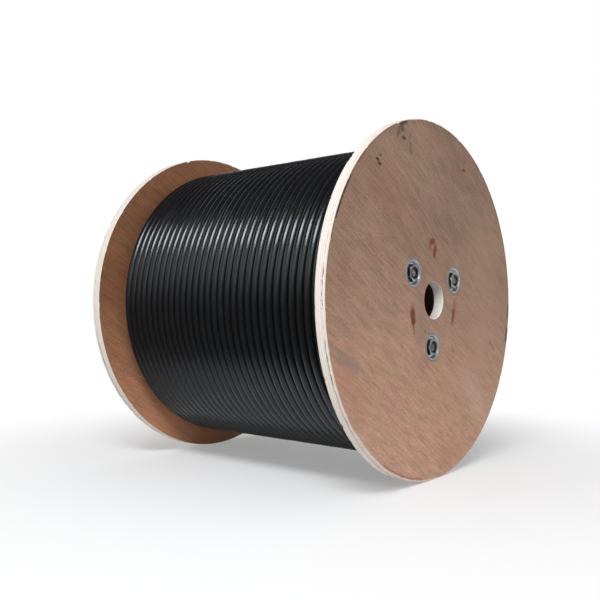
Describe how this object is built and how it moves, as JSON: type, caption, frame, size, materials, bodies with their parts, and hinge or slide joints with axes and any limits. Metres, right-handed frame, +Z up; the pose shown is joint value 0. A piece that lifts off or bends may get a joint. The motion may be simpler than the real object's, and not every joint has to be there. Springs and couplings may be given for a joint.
{
  "type": "wooden cable drum",
  "caption": "Plywood cable drum lying on its rims: round flanges with an arbor hole, tied by rods with dished washers and nuts, wound full of round black cable.",
  "frame": {"origin": "on the floor under the middle of the drum", "axes": "+Y along the drum's axis from the front flange to the rear flange, +Z up"},
  "size_m": [0.3999, 0.361, 0.4],
  "materials": {
    "plywood": "bare, weathered",
    "fibre_tube": "plain",
    "cable_jacket": "satin",
    "zinc_steel": "dull zinc"
  },
  "bodies": {
    "root": {"front_flange": "plywood", "rear_flange": "plywood", "barrel": "fibre_tube", "cable_winding": "cable_jacket", "tie_rod_1": "zinc_steel", "tie_rod_2": "zinc_steel", "tie_rod_3": "zinc_steel", "washer_front_1": "zinc_steel", "washer_front_2": "zinc_steel", "washer_front_3": "zinc_steel", "washer_rear_1": "zinc_steel", "washer_rear_2": "zinc_steel", "washer_rear_3": "zinc_steel", "nut_front_1": "zinc_steel", "nut_front_2": "zinc_steel", "nut_front_3": "zinc_steel", "nut_rear_1": "zinc_steel", "nut_rear_2": "zinc_steel", "nut_rear_3": "zinc_steel"}
  },
  "joints": []
}
